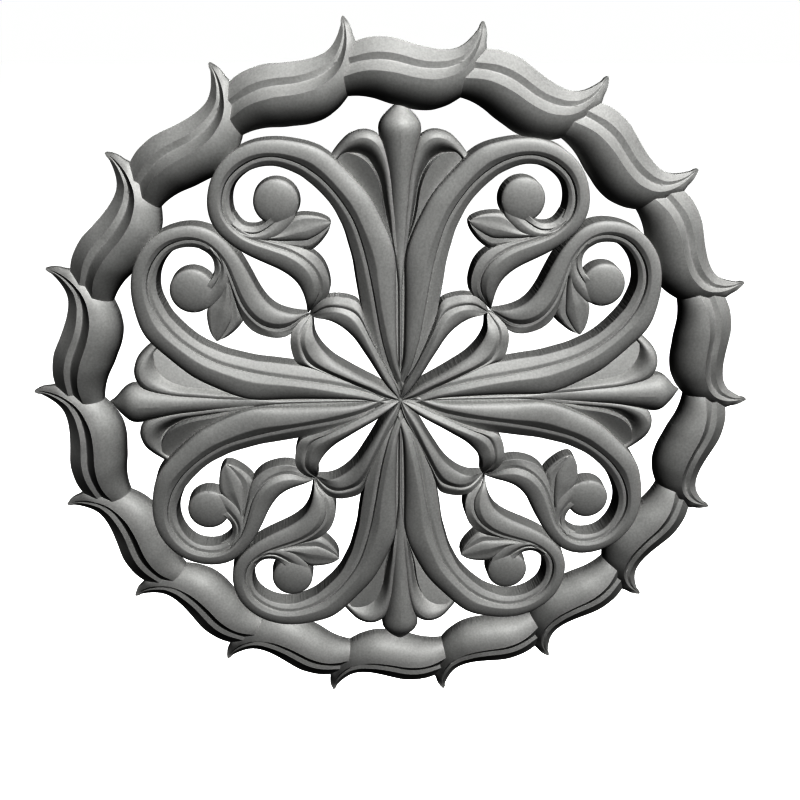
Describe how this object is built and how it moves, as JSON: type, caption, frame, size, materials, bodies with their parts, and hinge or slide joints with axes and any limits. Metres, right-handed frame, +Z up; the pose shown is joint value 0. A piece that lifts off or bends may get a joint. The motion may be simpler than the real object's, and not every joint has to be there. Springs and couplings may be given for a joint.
{
  "type": "carved rosette",
  "caption": "Round openwork relief: petals, paired scrolls and leaf finials inside a wreath of overlapping flame leaves, with a flat back, fixed to furniture, a door or a wall as ornament",
  "frame": {"origin": "middle of the flat back face, at the centre of the wreath and of the four-armed scrollwork", "axes": "+Z up as it hangs, the flat back on the plane y = 0 with its outward normal along +Y, the carved face looking along -Y, +X to the viewer's right"},
  "size_m": [0.3998, 0.0156, 0.3962],
  "materials": {
    "primed_wood": "carved wood in an even satin mid-grey primer coat"
  },
  "bodies": {
    "root": {"rosette": "primed_wood"}
  },
  "joints": []
}
